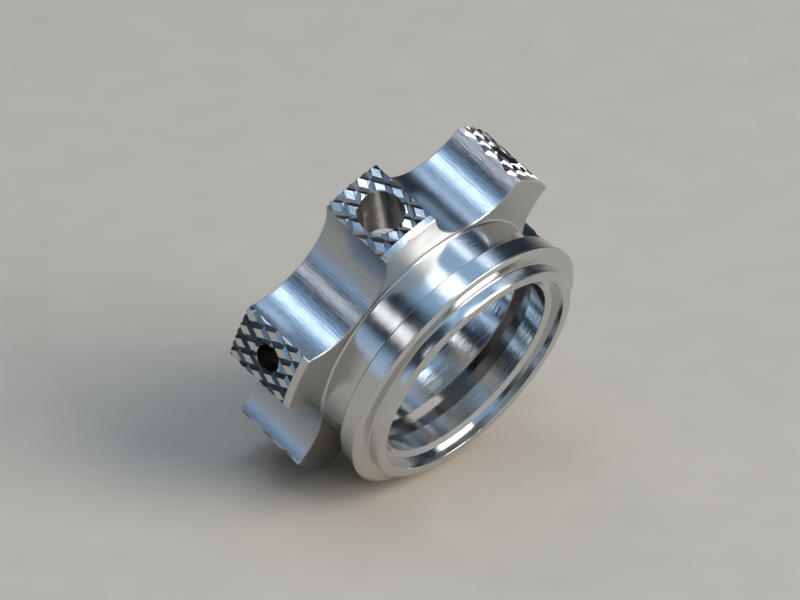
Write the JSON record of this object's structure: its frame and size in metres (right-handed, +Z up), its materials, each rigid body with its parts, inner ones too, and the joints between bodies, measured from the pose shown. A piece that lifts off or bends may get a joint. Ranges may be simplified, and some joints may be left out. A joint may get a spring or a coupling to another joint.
{
  "type": "knurled lug ring",
  "caption": "Bored steel ring with knurled, radially drilled lugs between milled scallops and a turned collar with a rim, lip and counterbored mouth in front.",
  "frame": {"origin": "centre of the bounding box on the floor, with the ring leaning on two lug corners and the front edge of the rim's bead", "axes": "+Z up, X across the ring from lug to lug, the mouth towards -Y and dipping to the floor"},
  "size_m": [0.04, 0.0286, 0.0383],
  "materials": {
    "steel": "bright machined stainless steel, turned and milled"
  },
  "bodies": {
    "root": {"lug_ring": "steel"}
  },
  "joints": []
}
